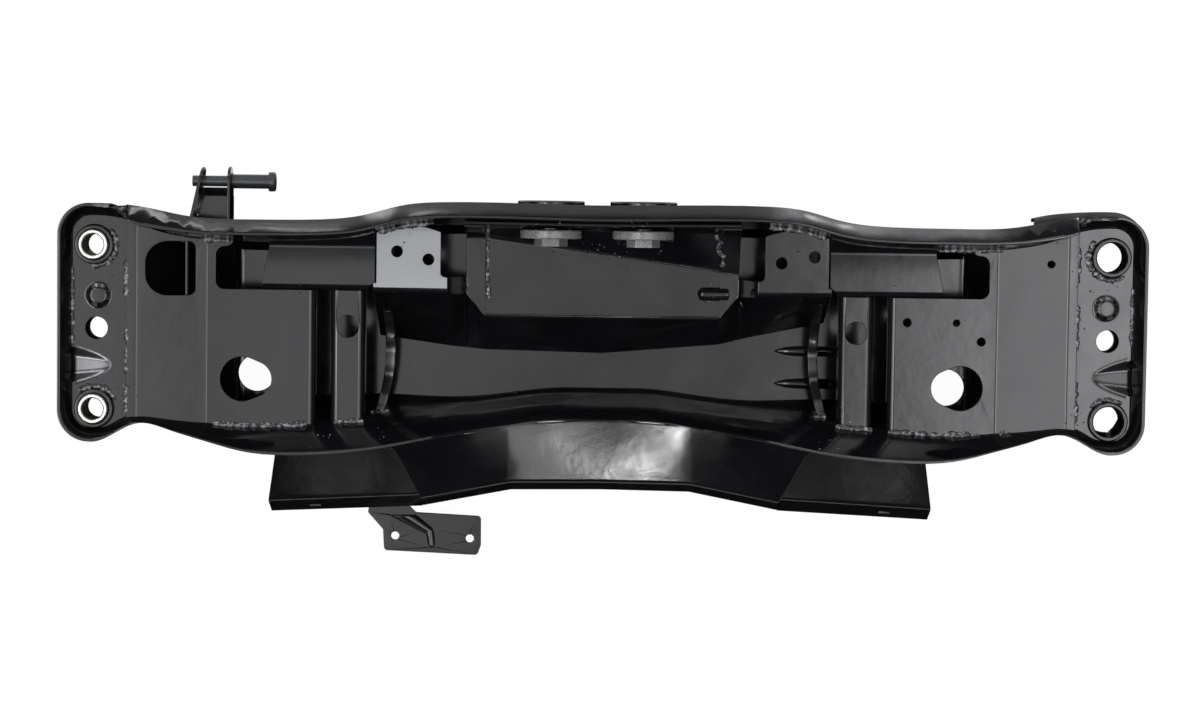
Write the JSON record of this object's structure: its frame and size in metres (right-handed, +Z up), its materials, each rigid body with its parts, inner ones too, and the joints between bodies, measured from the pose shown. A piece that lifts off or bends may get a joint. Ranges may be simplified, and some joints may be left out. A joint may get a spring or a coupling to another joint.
{
  "type": "axle subframe",
  "caption": "Welded front axle subframe: open pressed steel channel with stepped ends, corner mounting bores, consoles, ribs, flaps and small brackets",
  "frame": {"origin": "middle of the underside of the whole part's box, on the plane the channel floor rests on", "axes": "+X to the right-hand end along the beam, +Y to the front wall with the rack bosses, +Z up, out of the open side"},
  "size_m": [1.026, 0.3728, 0.138],
  "materials": {
    "black_paint": "gloss",
    "boss_paint": "gloss",
    "pin_paint": "satin",
    "bright_steel": "machined"
  },
  "bodies": {
    "root": {"apron": "black_paint", "boss_nuts": "boss_paint", "edge_bracket": "black_paint", "floor_pan": "black_paint", "front_rail": "black_paint", "front_wall": "black_paint", "hanger_bracket": "black_paint", "hanger_pin": "pin_paint", "hose_bracket": "black_paint", "left_baffle": "black_paint", "left_boss_washer": "boss_paint", "left_closing_plate": "black_paint", "left_console": "black_paint", "left_end_floor": "black_paint", "left_end_plate": "black_paint", "left_end_wall": "black_paint", "left_front_collar": "black_paint", "left_front_sleeve": "bright_steel", "left_front_wall": "black_paint", "left_rack_boss": "boss_paint", "left_rear_collar": "black_paint", "left_rear_flap": "black_paint", "left_rear_sleeve": "bright_steel", "left_rib": "black_paint", "left_spring_bridge": "black_paint", "left_wing": "black_paint", "rear_wall": "black_paint", "right_baffle": "black_paint", "right_boss_washer": "boss_paint", "right_closing_plate": "black_paint", "right_console": "black_paint", "right_end_floor": "black_paint", "right_end_plate": "black_paint", "right_end_wall": "black_paint", "right_front_collar": "black_paint", "right_front_wall": "black_paint", "right_rack_boss": "boss_paint", "right_rear_collar": "black_paint", "right_rear_flap": "black_paint", "right_rib": "black_paint", "right_spring_bridge": "black_paint", "right_wing": "black_paint", "weld_nuts": "black_paint"}
  },
  "joints": []
}
